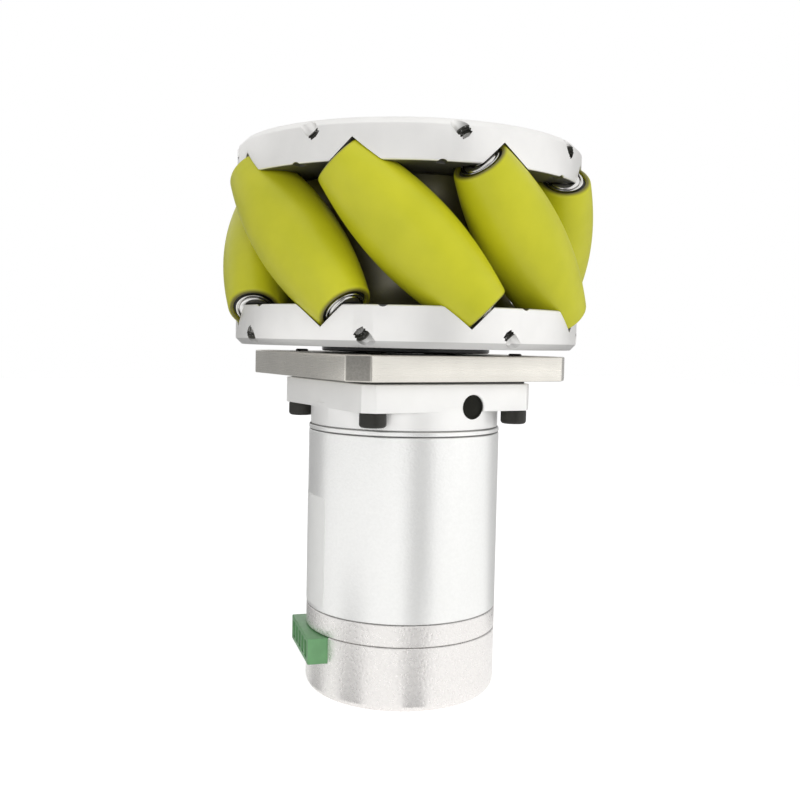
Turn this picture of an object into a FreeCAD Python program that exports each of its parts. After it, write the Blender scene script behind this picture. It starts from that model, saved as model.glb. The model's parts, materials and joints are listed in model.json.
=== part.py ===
import FreeCAD, Part
import math
import os

from FreeCAD import Vector

os.makedirs("parts", exist_ok=True)

# Omnidirectional drive unit standing on its motor. Millimetres, +Z up along the wheel axis.
# The origin is the centre of the motor's flat end, and the square plates lie along X and Y.

# Wheel and rollers
wheel_diameter = 80.0          # rolling diameter over the rollers
roller_count = 8
roller_tilt = 45.0             # lean of each roller axle from the wheel axis
roller_phase = 16.1            # turn of the first roller from +X
roller_size_ratio = 0.2125     # a roller's widest radius over the wheel's
roller_end_radius = 5.5        # before its edge is rounded
tyre_lip = 0.9                 # rounding of the tyre's two ends
tyre_wall = 0.9                # rubber round the core at a roller's end
core_wall = 0.6                # core round a bearing
core_bore_radius = 1.9
core_setback = 0.8             # core ends lie this far inside the tyre ends
roller_bearing_width = 3.0
roller_bearing_proud = 0.25    # bearing face past the tyre's end
bearing_groove = 0.25          # shield set back between the two races
race_width = 0.8
axle_radius = 1.5
axle_grip = 3.9                # axle past each end of its roller
axle_socket_flats = 1.5
axle_socket_depth = 1.5
running_clearance = 0.03       # radial, between turning bores and their shafts

# Side plates
rim_depth = 2.85               # rim below the rolling surface
plate_thickness = 8.05
plate_overhang = 7.079         # plate past the middle of a roller's end, along the wheel axis
rim_edge_bevel = 1.3
rim_inner_bevel = 0.25
pocket_clearance = 0.4         # round the roller's flank
pocket_end_gap = 0.55          # between a roller's end and the pocket floor
rim_land = 11.15               # flat ring round the outer plate's recess
plate_recess_depth = 2.0
nick_radius = 1.2
nick_rise = 0.45               # how far a nick cuts into the rim
nick_depth = 2.4
nick_angle = 8.1               # from the middle of a roller
hub_gap = 1.0                  # between the hub and the rollers
hub_edge_bevel = 0.4
spigot_radius = 5.6
spigot_length = 3.0
seat_clearance = 0.02          # radial, between parts that are fixed together

# Screws that hold the wheel together
m3_radius = 1.5
m3_head_radius = 2.75
m3_head_height = 3.0
m3_head_bevel = 0.25
m3_socket_flats = 2.5
m3_socket_depth = 1.5
m3_hole_radius = 1.6
counterbore_radius = 3.0
counterbore_depth = 3.2
countersunk_head_radius = 2.9
countersunk_head_height = 1.6
countersunk_socket_flats = 2.0
thread_runout = 1.0            # tapped hole past the screw's tip
hub_screw_count = 6
hub_screw_circle = 15.0        # radius
hub_screw_grip = 8.0           # length in the hub
flange_screw_count = 4
flange_screw_circle = 12.5     # radius
flange_screw_grip = 6.0
flange_screw_sink = 0.2
clamp_screw_radius = 2.0
clamp_head_radius = 3.5
clamp_head_height = 4.0
clamp_head_bevel = 0.33
clamp_socket_flats = 3.0
clamp_socket_depth = 2.0
clamp_washer_thickness = 0.8
clamp_washer_inset = 0.2       # washer edge inside the spigot's
clamp_screw_length = 10.0

# Output flange and drive shaft
output_flange_radius = 18.5
output_flange_gap = 0.3        # above the mounting plate
shaft_radius = 4.0
shaft_flat_depth = 0.5
shaft_end_gap = 0.3            # below the clamp washer
journal_radius = 2.5
journal_length = 6.1
shoulder_gap = 0.1
magnet_length = 2.5

# Plates below the wheel
wheel_gap = 1.4
mounting_margin = 5.95         # mounting plate past each side of the flange
mounting_corner = 3.65
mounting_thickness = 5.65
mounting_hole_radius = 1.7
mounting_hole_edge = 4.1       # hole centre to each side of the plate
flange_step = 1.1              # flange narrower than the motor
flange_corner = 2.17
flange_thickness = 5.95
neck_step = 0.35               # neck inside the motor's full size
neck_height = 3.95
pilot_radius = 11.5
pilot_height = 2.0
shaft_passage_radius = 4.6
cap_screw_edge = 3.2           # screw centre to each side of the flange
cap_screw_tip = 0.45           # stands above the mounting plate
plug_radius = 2.57
plug_bore_depth = 5.0
plug_sink = 0.3
plug_offset = 4.67             # along the flange's side, from its middle
plug_height_above_neck = 0.92  # bore axis above the flange's lower face

# Motor
motor_radius = 21.0
can_height = 38.6
can_wall = 1.5
spacer_height = 1.15
rear_ring_height = 4.7
end_cap_height = 13.9
end_cap_wall = 2.0
end_cap_floor = 2.6
end_cap_round = 2.4
seam_bevel = 0.18
front_bearing_radius = 11.0
front_bearing_width = 7.0
front_bearing_lip = 1.15       # from the neck's lower face up to the bearing
rear_bearing_radius = 5.5
rear_bearing_width = 4.0
rear_bearing_lip = 0.4
board_clearance = 0.6          # board edge to the cap's wall
board_thickness = 1.6
board_ledge = 2.0              # width of the ledge that carries the board
sensor_side = 4.0
sensor_height = 0.9
stator_length = 26.0
stator_from_can_base = 6.0
stator_depth = 8.1             # stator's bore to its outside
magnet_thickness = 1.8
air_gap = 0.4
tooth_count = 9
tooth_width = 3.2
tooth_tip_height = 1.2
slot_mouth = 1.6
yoke_thickness = 2.9
coil_thickness = 1.7
coil_overhang = 2.5
coil_yoke_gap = 0.6            # coil end to the stator's outer ring
pole_count = 8
pole_gap = 0.6

# Terminal header in the end cap's wall
header_angle = 165.9           # direction that it faces, from +X
header_width = 19.4
header_height = 5.5
header_depth = 9.0
header_proud = 1.8             # header's face past the motor's full size
header_side_gap = 0.15
terminal_count = 5
terminal_pitch = 3.5
terminal_slot_width = 2.5
terminal_slot_height = 3.6
terminal_slot_depth = 6.0
terminal_pin_side = 0.9
terminal_pin_length = 5.0

# Sizes that follow
tilt = math.radians(roller_tilt)
wheel_radius = wheel_diameter / 2
roller_mid_radius = wheel_radius * roller_size_ratio
roller_pitch_radius = wheel_radius - roller_mid_radius
roller_half = math.sqrt((wheel_radius - roller_end_radius) ** 2 - roller_pitch_radius ** 2) / math.sin(tilt)
core_radius = roller_end_radius - tyre_wall
roller_bearing_radius = core_radius - core_wall
axle_half = roller_half + axle_grip
wheel_half_width = roller_half * math.cos(tilt) + plate_overhang
rim_radius = wheel_radius - rim_depth
outer_recess_radius = rim_radius - rim_land
hub_radius = roller_pitch_radius - roller_mid_radius - hub_gap
neck_radius = motor_radius - neck_step
flange_side = 2 * motor_radius - flange_step
mounting_side = flange_side + 2 * mounting_margin
rotor_radius = motor_radius - can_wall - stator_depth - air_gap
cap_screw_spacing = flange_side - 2 * cap_screw_edge
mounting_hole_spacing = mounting_side - 2 * mounting_hole_edge
board_radius = motor_radius - end_cap_wall - board_clearance
header_reach = motor_radius + header_proud

# Heights that follow from the stack
rear_ring_base = end_cap_height
can_base = rear_ring_base + rear_ring_height
spacer_base = can_base + can_height
neck_base = spacer_base + spacer_height
flange_base = neck_base + neck_height
mounting_base = flange_base + flange_thickness
mounting_top = mounting_base + mounting_thickness
wheel_middle = mounting_top + wheel_gap + wheel_half_width
plate_inner = wheel_half_width - plate_thickness
up = Vector(0, 0, 1)
out = Vector(1, 0, 0)
centre = Vector(0, 0, 0)


def roller_radius(distance):
    """Radius of a roller at this distance from its middle, so that the wheel rolls as a true circle."""
    return wheel_radius - math.hypot(roller_pitch_radius, distance * math.sin(tilt))


def cylinder(radius, bottom, top):
    return Part.makeCylinder(radius, top - bottom, Vector(0, 0, bottom))


def ring(outer_radius, inner_radius, bottom, top):
    return cylinder(outer_radius, bottom, top).cut(cylinder(inner_radius, bottom, top))


def turned(profile):
    """Solid turned about Z from (radius, height) points."""
    points = [Vector(radius, 0, height) for radius, height in profile]
    face = Part.Face(Part.makePolygon(points + points[:1]))
    return face.revolve(centre, up, 360)


def hexagon(flats, bottom, top):
    radius = flats / math.sqrt(3)
    corners = [Vector(radius * math.cos(a), radius * math.sin(a), bottom)
               for a in (math.radians(60 * side) for side in range(6))]
    face = Part.Face(Part.makePolygon(corners + corners[:1]))
    return face.extrude(Vector(0, 0, top - bottom))


def block(length, width, bottom, top, start=0.0):
    """Block along +X from start, centred across Y."""
    return Part.makeBox(length, width, top - bottom, Vector(start, -width / 2, bottom))


def around(shape, count, first=0.0):
    """Copies of a shape evenly round the Z axis."""
    copies = []
    for index in range(count):
        copy = shape.copy()
        copy.rotate(centre, up, first + index * 360 / count)
        copies.append(copy)
    return copies


def at_corners(shape, spacing):
    """Copies of a shape at the corners of a square."""
    copies = []
    for x in (-spacing / 2, spacing / 2):
        for y in (-spacing / 2, spacing / 2):
            copy = shape.copy()
            copy.translate(Vector(x, y, 0))
            copies.append(copy)
    return copies


def rounded(solid, radius, edge_radius, height):
    """Round the circular edges of one radius at one height."""
    tolerance = 1e-6
    edges = [edge for edge in solid.Edges
             if isinstance(edge.Curve, Part.Circle)
             and abs(edge.Curve.Radius - edge_radius) < tolerance
             and abs(edge.Curve.Center.z - height) < tolerance]
    return solid.makeFillet(radius, edges)


def on_axle(shape, index):
    """Move a shape made along Z to its roller's axle, in the wheel's own frame."""
    placed = shape.copy()
    placed.rotate(centre, out, roller_tilt)
    placed.translate(Vector(roller_pitch_radius, 0, 0))
    placed.rotate(centre, up, index * 360 / roller_count)
    return placed


def on_wheel(shape):
    """Move a shape from the wheel's own frame to its place on the motor."""
    placed = shape.copy()
    placed.rotate(centre, up, roller_phase)
    placed.translate(Vector(0, 0, wheel_middle))
    return placed


def turned_over(shape):
    flipped = shape.copy()
    flipped.rotate(centre, out, 180)
    return flipped


def socket_screw(radius, length, head_radius, head_height, head_bevel, flats, socket_depth):
    """Screw along +Z with the underside of its head at zero."""
    head = turned([(0, -head_height), (head_radius - head_bevel, -head_height),
                   (head_radius, head_bevel - head_height), (head_radius, 0), (0, 0)])
    socket = hexagon(flats, -head_height, socket_depth - head_height)
    return head.fuse(cylinder(radius, 0, length)).removeSplitter().cut(socket)


def bearing(outer_radius, bore_radius, bottom, top):
    """Shielded ball bearing with its shields set back between the races."""
    body = ring(outer_radius, bore_radius, bottom, top)
    for low in (bottom, top - bearing_groove):
        body = body.cut(ring(outer_radius - race_width, bore_radius + race_width, low, low + bearing_groove))
    return body


# Rollers

def roller_tyre(index):
    arc = Part.Arc(Vector(roller_end_radius, 0, -roller_half), Vector(roller_mid_radius, 0, 0),
                   Vector(roller_end_radius, 0, roller_half)).toShape()
    sides = Part.makePolygon([Vector(roller_end_radius, 0, roller_half), Vector(core_radius, 0, roller_half),
                              Vector(core_radius, 0, -roller_half), Vector(roller_end_radius, 0, -roller_half)])
    tyre = Part.Face(Part.Wire([arc] + sides.Edges)).revolve(centre, up, 360)
    for height in (-roller_half, roller_half):
        tyre = rounded(tyre, tyre_lip, roller_end_radius, height)
    return on_wheel(on_axle(tyre, index))


def roller_core(index):
    half = roller_half - core_setback
    core = ring(core_radius, core_bore_radius, -half, half)
    seat = roller_half + roller_bearing_proud - roller_bearing_width
    core = core.cut(cylinder(roller_bearing_radius, seat, half)).cut(cylinder(roller_bearing_radius, -half, -seat))
    return on_wheel(on_axle(core, index))


def roller_bearings(index):
    top = roller_half + roller_bearing_proud
    upper = bearing(roller_bearing_radius, axle_radius + running_clearance, top - roller_bearing_width, top)
    lower = turned_over(upper)
    return on_wheel(on_axle(Part.makeCompound([upper, lower]), index))


def roller_axle(index):
    axle = cylinder(axle_radius, -axle_half, axle_half)
    axle = axle.cut(hexagon(axle_socket_flats, axle_half - axle_socket_depth, axle_half))
    axle = axle.cut(hexagon(axle_socket_flats, -axle_half, axle_socket_depth - axle_half))
    return on_wheel(on_axle(axle, index))


# Wheel frame

def roller_pocket():
    """Tapered clearance for the upper end of a roller, along its axle."""
    end = roller_half + pocket_end_gap
    start = plate_inner / math.cos(tilt) - roller_mid_radius - pocket_clearance
    return Part.makeCone(roller_radius(start) + pocket_clearance, roller_radius(end) + pocket_clearance,
                         end - start, Vector(0, 0, start), up)


def rim_nick():
    """Half-round nick in the rim's inner edge, beside a roller."""
    low = plate_inner + nick_rise - nick_radius
    nick = Part.makeCylinder(nick_radius, nick_depth + nick_radius,
                             Vector(rim_radius - nick_depth, 0, low), out)
    nick.rotate(centre, up, nick_angle)
    return nick


def plate_blank(recess_radius):
    """Side plate above the wheel's middle plane, with the roller pockets and axle holes."""
    top = wheel_half_width
    floor = top - plate_recess_depth
    plate = turned([(spigot_radius + seat_clearance, plate_inner), (rim_radius - rim_inner_bevel, plate_inner),
                    (rim_radius, plate_inner + rim_inner_bevel), (rim_radius, top - rim_edge_bevel),
                    (rim_radius - rim_edge_bevel, top), (recess_radius, top), (recess_radius, floor),
                    (spigot_radius + seat_clearance, floor)])
    pocket = roller_pocket()
    hole = cylinder(axle_radius, roller_half, roller_half + wheel_half_width)
    cutters = [on_axle(tool, index) for index in range(roller_count) for tool in (pocket, hole)]
    return plate.cut(cutters + around(rim_nick(), roller_count))


def outer_side_plate():
    plate = plate_blank(outer_recess_radius)
    floor = wheel_half_width - plate_recess_depth
    hole = cylinder(m3_hole_radius, plate_inner, floor).fuse(
        cylinder(counterbore_radius, floor - counterbore_depth, floor))
    hole.translate(Vector(hub_screw_circle, 0, 0))
    return on_wheel(plate.cut(around(hole, hub_screw_count)))


def inner_side_plate():
    plate = plate_blank(output_flange_radius + seat_clearance)
    hole = cylinder(m3_hole_radius, plate_inner, wheel_half_width)
    hole.translate(Vector(flange_screw_circle, 0, 0))
    return on_wheel(turned_over(plate.cut(around(hole, flange_screw_count))))


def shaft_section(radius, flat_depth, bottom, top):
    """Round bar with one flat."""
    flat = block(radius, radius * 2, bottom, top, start=radius - flat_depth)
    return cylinder(radius, bottom, top).cut(flat)


def hub_barrel():
    body = turned([(0, -plate_inner), (hub_radius - hub_edge_bevel, -plate_inner),
                   (hub_radius, hub_edge_bevel - plate_inner), (hub_radius, plate_inner - hub_edge_bevel),
                   (hub_radius - hub_edge_bevel, plate_inner), (0, plate_inner)])
    spigot = plate_inner + spigot_length
    body = body.fuse(cylinder(spigot_radius, -spigot, spigot)).removeSplitter()
    upper_hole = cylinder(m3_radius, plate_inner - hub_screw_grip - thread_runout, plate_inner)
    upper_hole.translate(Vector(hub_screw_circle, 0, 0))
    lower_hole = cylinder(m3_radius, -plate_inner, flange_screw_grip + thread_runout - plate_inner)
    lower_hole.translate(Vector(flange_screw_circle, 0, 0))
    bore = shaft_section(shaft_radius + seat_clearance, shaft_flat_depth, -spigot, spigot)
    tools = around(upper_hole, hub_screw_count) + around(lower_hole, flange_screw_count) + [bore]
    return on_wheel(body.cut(tools))


def outer_hub_screws():
    seat = wheel_half_width - plate_recess_depth - counterbore_depth
    screw = turned_over(socket_screw(m3_radius, seat - plate_inner + hub_screw_grip, m3_head_radius,
                                     m3_head_height, m3_head_bevel, m3_socket_flats, m3_socket_depth))
    screw.translate(Vector(hub_screw_circle, 0, seat))
    return on_wheel(Part.makeCompound(around(screw, hub_screw_count)))


def output_flange():
    low = mounting_top + output_flange_gap
    top = mounting_top + wheel_gap + plate_recess_depth
    flange = ring(output_flange_radius, shaft_radius + seat_clearance, low, top)
    hole = countersunk_body(low, top, m3_hole_radius, m3_hole_radius - m3_radius)
    hole.rotate(centre, up, roller_phase)
    return flange.cut(around(hole, flange_screw_count))


def countersunk_body(low, top, radius, extra):
    """Countersunk head with its face at low and a straight shank to top, on the flange's screw circle."""
    body = Part.makeCone(countersunk_head_radius + extra, radius, countersunk_head_height, Vector(0, 0, low), up)
    body = body.fuse(cylinder(radius, low + countersunk_head_height, top)).removeSplitter()
    body.translate(Vector(flange_screw_circle, 0, 0))
    return body


def output_flange_screws():
    low = mounting_top + output_flange_gap
    tip = wheel_middle - plate_inner + flange_screw_grip
    screw = countersunk_body(low, tip, m3_radius, 0)
    recess = hexagon(countersunk_socket_flats, low, low + countersunk_head_height)
    recess.translate(Vector(flange_screw_circle, 0, 0))
    screw = screw.cut(recess)
    screw.rotate(centre, up, roller_phase)
    return Part.makeCompound(around(screw, flange_screw_count))


def drive_shaft():
    journal_top = can_base - rear_bearing_lip + shoulder_gap
    journal_low = journal_top - journal_length
    flat_start = mounting_top + output_flange_gap
    top = wheel_middle + plate_inner + spigot_length - shaft_end_gap
    shaft = cylinder(journal_radius, journal_low, journal_top).fuse(
        cylinder(shaft_radius, journal_top, flat_start)).fuse(cylinder(shaft_radius, flat_start, top))
    shaft = shaft.removeSplitter()
    flat = block(shaft_radius, shaft_radius * 2, wheel_middle - plate_inner - spigot_length, top,
                 start=shaft_radius - shaft_flat_depth)
    flat.rotate(centre, up, roller_phase)
    thread = cylinder(clamp_screw_radius, top - clamp_screw_length, top)
    return shaft.cut(flat).cut(thread)


def clamp_screw():
    """Screw and washer that hold the hub down on the drive shaft."""
    washer_base = wheel_middle + plate_inner + spigot_length
    washer = ring(spigot_radius - clamp_washer_inset, clamp_screw_radius,
                  washer_base, washer_base + clamp_washer_thickness)
    screw = turned_over(socket_screw(clamp_screw_radius, clamp_screw_length, clamp_head_radius,
                                     clamp_head_height, clamp_head_bevel, clamp_socket_flats, clamp_socket_depth))
    screw.translate(Vector(0, 0, washer_base + clamp_washer_thickness))
    return Part.makeCompound([washer, screw])


# Rotor

def rotor_core():
    low = can_base + stator_from_can_base
    return ring(rotor_radius - magnet_thickness, shaft_radius, low, low + stator_length)


def rotor_magnets():
    low = can_base + stator_from_can_base
    sleeve = ring(rotor_radius, rotor_radius - magnet_thickness, low, low + stator_length)
    gaps = around(block(rotor_radius, pole_gap, low, low + stator_length), pole_count)
    return sleeve.cut(gaps)


def encoder_magnet():
    top = can_base - rear_bearing_lip + shoulder_gap - journal_length
    return cylinder(journal_radius, top - magnet_length, top)


# Motor housing

def chamfered_square(side, corner, bottom, top):
    half = side / 2
    near = half - corner
    outline = [(half, -near), (half, near), (near, half), (-near, half),
               (-half, near), (-half, -near), (-near, -half), (near, -half)]
    points = [Vector(x, y, bottom) for x, y in outline]
    face = Part.Face(Part.makePolygon(points + points[:1]))
    return face.extrude(Vector(0, 0, top - bottom))


def mounting_plate():
    plate = chamfered_square(mounting_side, mounting_corner, mounting_base, mounting_top)
    plate = plate.cut(cylinder(pilot_radius + seat_clearance, mounting_base, mounting_top))
    tapped = at_corners(cylinder(m3_radius, mounting_base, mounting_top), cap_screw_spacing)
    through = at_corners(cylinder(mounting_hole_radius, mounting_base, mounting_top), mounting_hole_spacing)
    return plate.cut(tapped + through)


def plug_bore(depth, start):
    """Bore into the flange's -Y side, from start millimetres below its face."""
    face = flange_side / 2
    return Part.makeCylinder(plug_radius, depth - start,
                             Vector(plug_offset, start - face, flange_base + plug_height_above_neck),
                             Vector(0, 1, 0))


def front_flange():
    flange = chamfered_square(flange_side, flange_corner, flange_base, mounting_base)
    flange = flange.fuse([cylinder(neck_radius, neck_base, flange_base + flange_thickness / 2),
                          cylinder(pilot_radius, mounting_base - flange_thickness / 2,
                                   mounting_base + pilot_height)]).removeSplitter()
    seat_base = neck_base + front_bearing_lip
    seat = cylinder(front_bearing_radius, neck_base, seat_base + front_bearing_width)
    passage = cylinder(shaft_passage_radius, neck_base, mounting_base + pilot_height)
    screws = at_corners(cylinder(m3_hole_radius, flange_base, mounting_base), cap_screw_spacing)
    heads = at_corners(cylinder(m3_head_radius + m3_hole_radius - m3_radius, neck_base, flange_base),
                       cap_screw_spacing)
    return flange.cut([seat, passage, plug_bore(plug_bore_depth, 0)] + screws + heads)


def flange_plug():
    return plug_bore(plug_bore_depth, plug_sink)


def flange_screws():
    length = flange_thickness + mounting_thickness + cap_screw_tip
    screw = socket_screw(m3_radius, length, m3_head_radius, m3_head_height, m3_head_bevel,
                         m3_socket_flats, m3_socket_depth)
    screw.translate(Vector(0, 0, flange_base))
    return Part.makeCompound(at_corners(screw, cap_screw_spacing))


def front_bearing():
    low = neck_base + front_bearing_lip
    return bearing(front_bearing_radius, shaft_radius + running_clearance, low, low + front_bearing_width)


def bevelled_ring(inner_radius, bottom, top):
    """Ring of the motor's full size with a fine bevel at both seams."""
    return turned([(inner_radius, bottom), (motor_radius - seam_bevel, bottom), (motor_radius, bottom + seam_bevel),
                   (motor_radius, top - seam_bevel), (motor_radius - seam_bevel, top), (inner_radius, top)])


def spacer_ring():
    return bevelled_ring(motor_radius - can_wall, spacer_base, neck_base)


def motor_can():
    return bevelled_ring(motor_radius - can_wall, can_base, spacer_base)


def rear_ring():
    body = bevelled_ring(shaft_passage_radius - rear_bearing_lip, rear_ring_base, can_base)
    top = can_base - rear_bearing_lip
    return body.cut(cylinder(rear_bearing_radius, top - rear_bearing_width, can_base))


def rear_bearing():
    top = can_base - rear_bearing_lip
    return bearing(rear_bearing_radius, journal_radius + running_clearance, top - rear_bearing_width, top)


def end_cap():
    inside = motor_radius - end_cap_wall
    board_base = header_base() - board_thickness
    cap = turned([(0, 0), (motor_radius, 0), (motor_radius, end_cap_height - seam_bevel),
                  (motor_radius - seam_bevel, end_cap_height), (inside, end_cap_height), (inside, board_base),
                  (inside - board_ledge, board_base), (inside - board_ledge, end_cap_floor), (0, end_cap_floor)])
    cap = rounded(cap, end_cap_round, motor_radius, 0)
    window = block(motor_radius, header_width + 2 * header_side_gap, header_base(), end_cap_height,
                   start=header_reach - header_depth)
    window.rotate(centre, up, header_angle)
    return cap.cut(window)


# Electronics

def header_base():
    return end_cap_height - header_side_gap - header_height


def drive_board():
    base = header_base() - board_thickness
    board = cylinder(board_radius, base, header_base())
    sensor = block(sensor_side, sensor_side, header_base(), header_base() + sensor_height, start=-sensor_side / 2)
    return board.fuse(sensor).removeSplitter()


def terminal_places():
    first = -(terminal_count - 1) / 2
    return [(first + index) * terminal_pitch for index in range(terminal_count)]


def terminal_header():
    low = header_base()
    body = block(header_depth, header_width, low, low + header_height, start=header_reach - header_depth)
    middle = low + header_height / 2
    slot = block(terminal_slot_depth, terminal_slot_width, middle - terminal_slot_height / 2,
                 middle + terminal_slot_height / 2, start=header_reach - terminal_slot_depth)
    slots = []
    for place in terminal_places():
        copy = slot.copy()
        copy.translate(Vector(0, place, 0))
        slots.append(copy)
    body = body.cut(slots)
    body.rotate(centre, up, header_angle)
    return body


def terminal_contacts():
    middle = header_base() + header_height / 2
    start = header_reach - terminal_slot_depth
    pins = []
    for place in terminal_places():
        pin = block(terminal_pin_length, terminal_pin_side, middle - terminal_pin_side / 2,
                    middle + terminal_pin_side / 2, start=start)
        pin.translate(Vector(0, place, 0))
        pin.rotate(centre, up, header_angle)
        pins.append(pin)
    return Part.makeCompound(pins)


def stator_core():
    low = can_base + stator_from_can_base
    top = low + stator_length
    bore = rotor_radius + air_gap
    outside = motor_radius - can_wall
    tooth = block(outside - yoke_thickness / 2 - bore, tooth_width, low, top, start=bore + tooth_tip_height / 2)
    core = ring(outside, outside - yoke_thickness, low, top).fuse(
        [ring(bore + tooth_tip_height, bore, low, top)] + around(tooth, tooth_count)).removeSplitter()
    mouth = block(bore + tooth_tip_height, slot_mouth, low, top)
    return core.cut(around(mouth, tooth_count, first=180 / tooth_count))


def stator_windings():
    low = can_base + stator_from_can_base
    top = low + stator_length
    start = rotor_radius + air_gap + tooth_tip_height
    length = motor_radius - can_wall - yoke_thickness - coil_yoke_gap - start
    coil = block(length, tooth_width + 2 * coil_thickness, low - coil_overhang, top + coil_overhang, start=start)
    coil = coil.cut(block(length, tooth_width, low, top, start=start))
    return Part.makeCompound(around(coil, tooth_count))


single_parts = [
    outer_side_plate, inner_side_plate, hub_barrel, outer_hub_screws, output_flange, output_flange_screws,
    drive_shaft, clamp_screw, rotor_core, rotor_magnets, encoder_magnet, mounting_plate, front_flange,
    flange_plug, flange_screws, front_bearing, spacer_ring, motor_can, rear_ring, rear_bearing, end_cap,
    drive_board, terminal_header, terminal_contacts, stator_core, stator_windings]
roller_parts = {"tyre": roller_tyre, "core": roller_core, "bearings": roller_bearings, "axle": roller_axle}

for make in single_parts:
    make().exportStep("parts/" + make.__name__ + ".step")
for number in range(roller_count):
    for name, make in roller_parts.items():
        make(number).exportStep("parts/roller_%d_%s.step" % (number + 1, name))
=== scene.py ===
import json
import math

import bmesh
import bpy
from mathutils import Matrix, Vector


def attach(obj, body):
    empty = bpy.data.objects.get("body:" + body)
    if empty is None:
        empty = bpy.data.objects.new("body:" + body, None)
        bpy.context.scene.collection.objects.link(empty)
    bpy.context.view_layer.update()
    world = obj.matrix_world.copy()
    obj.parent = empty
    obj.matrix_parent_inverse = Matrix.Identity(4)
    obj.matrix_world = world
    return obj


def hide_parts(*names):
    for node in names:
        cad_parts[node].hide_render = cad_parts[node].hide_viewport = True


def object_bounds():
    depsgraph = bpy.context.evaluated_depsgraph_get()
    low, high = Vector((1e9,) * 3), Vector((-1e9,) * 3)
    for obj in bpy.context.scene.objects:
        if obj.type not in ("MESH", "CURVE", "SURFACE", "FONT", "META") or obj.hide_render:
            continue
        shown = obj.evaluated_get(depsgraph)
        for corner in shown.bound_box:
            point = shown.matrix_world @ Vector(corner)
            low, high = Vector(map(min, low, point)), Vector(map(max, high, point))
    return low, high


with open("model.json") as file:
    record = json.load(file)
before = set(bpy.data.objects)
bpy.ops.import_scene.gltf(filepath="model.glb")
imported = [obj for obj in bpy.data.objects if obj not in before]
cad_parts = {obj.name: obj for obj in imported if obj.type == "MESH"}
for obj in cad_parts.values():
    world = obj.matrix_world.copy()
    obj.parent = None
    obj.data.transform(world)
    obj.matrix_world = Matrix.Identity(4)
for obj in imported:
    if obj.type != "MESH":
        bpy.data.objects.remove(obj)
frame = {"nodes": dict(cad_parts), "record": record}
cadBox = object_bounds()
nodes = frame["nodes"]
mm = 0.001
print("stage: frame loaded,", len(nodes), "nodes")


# Shader maths written as plain expressions. A Wire is one socket of a node tree.
class Wire:
    def __init__(self, graph, socket):
        self.graph = graph
        self.socket = socket

    def combine(self, operation, other):
        return self.graph.node("ShaderNodeMath", {"operation": operation}, {0: self, 1: other})

    def __add__(self, other):
        return self.combine("ADD", other)

    def __sub__(self, other):
        return self.combine("SUBTRACT", other)

    def __mul__(self, other):
        return self.combine("MULTIPLY", other)

    def __truediv__(self, other):
        return self.combine("DIVIDE", other)

    def __pow__(self, other):
        return self.combine("POWER", other)

    def __abs__(self):
        return self.combine("ABSOLUTE", 0)

    def most(self, other):
        return self.combine("MAXIMUM", other)

    def between(self, low, high):  # 0 at low, 1 at high, held at both ends
        values = {"From Min": low, "From Max": high, "Value": self}
        return self.graph.node("ShaderNodeMapRange", {"clamp": True}, values)

    def past(self, level, soft):  # the same from level to level + soft, in millimetres
        return self.between(level * mm, (level + soft) * mm)


class Graph:  # one node tree
    def __init__(self, tree):
        self.tree = tree

    def node(self, kind, settings=None, values=None, output=0):
        added = self.tree.nodes.new(kind)
        for name, value in (settings or {}).items():
            setattr(added, name, value)
        for name, value in (values or {}).items():
            self.feed(added.inputs[name], value)
        return Wire(self, added.outputs[output])

    def feed(self, socket, value):
        if isinstance(value, Wire):
            self.tree.links.new(value.socket, socket)
        else:
            socket.default_value = value

    def rays(self, *kinds):  # 1 for these kinds of ray
        seen = self.node("ShaderNodeLightPath", output=kinds[0])
        for kind in kinds[1:]:
            seen = seen.most(self.node("ShaderNodeLightPath", output=kind))
        return seen


# A finish is one material: its colour, roughness and bump come from the nodes added here.
class Finish(Graph):
    def __init__(self, name, color, roughness, metallic=0.0):
        self.material = bpy.data.materials.new(name)
        self.material.use_nodes = True
        super().__init__(self.material.node_tree)
        self.shader = self.tree.nodes["Principled BSDF"]
        self.set("Base Color", (*color, 1))
        self.set("Roughness", roughness)
        self.set("Metallic", metallic)
        self.tone = None
        self.height = None

    def set(self, name, value):
        self.feed(self.shader.inputs[name], value)

    def place(self, axis=None):  # object coordinates, whole or along one axis
        whole = self.node("ShaderNodeTexCoord", output="Object")
        if axis is None:
            return whole
        return self.node("ShaderNodeSeparateXYZ", values={0: whole}, output=axis)

    def attribute(self, name):  # a value that is kept in the mesh
        return self.node("ShaderNodeAttribute", {"attribute_name": name}, output="Fac")

    def noise(self, scale, detail=3, stretch=None):
        at = self.place()
        if stretch:
            at = self.node("ShaderNodeMapping", values={"Vector": at, "Scale": stretch})
        return self.node("ShaderNodeTexNoise", values={"Vector": at, "Scale": scale, "Detail": detail},
                         output="Fac")

    def mix(self, amount, first, second):
        settings = {"data_type": "RGBA"}
        values = {0: amount, 6: self.rgba(first), 7: self.rgba(second)}
        return self.node("ShaderNodeMix", settings, values, output=2)

    def rgba(self, value):
        return value if isinstance(value, Wire) else (*value, 1)

    def bump(self, height, distance):
        values = {"Height": height, "Distance": distance, "Strength": 1.0}
        if self.height:
            values["Normal"] = self.height
        self.height = self.node("ShaderNodeBump", values=values)
        self.set("Normal", self.height)


# Modelling helpers: everything is deselected before a new piece is started
def startPiece():
    if bpy.context.mode != "OBJECT":
        editing(False)
    bpy.ops.object.select_all(action="DESELECT")


def pick(*pieces):
    startPiece()
    for piece in pieces:
        piece.select_set(True)
    bpy.context.view_layer.objects.active = pieces[0]
    return pieces[0]


def deleted(*pieces):
    pick(*pieces)
    bpy.ops.object.delete()


def editing(on=True):
    bpy.ops.object.mode_set(mode="EDIT" if on else "OBJECT")


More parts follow.
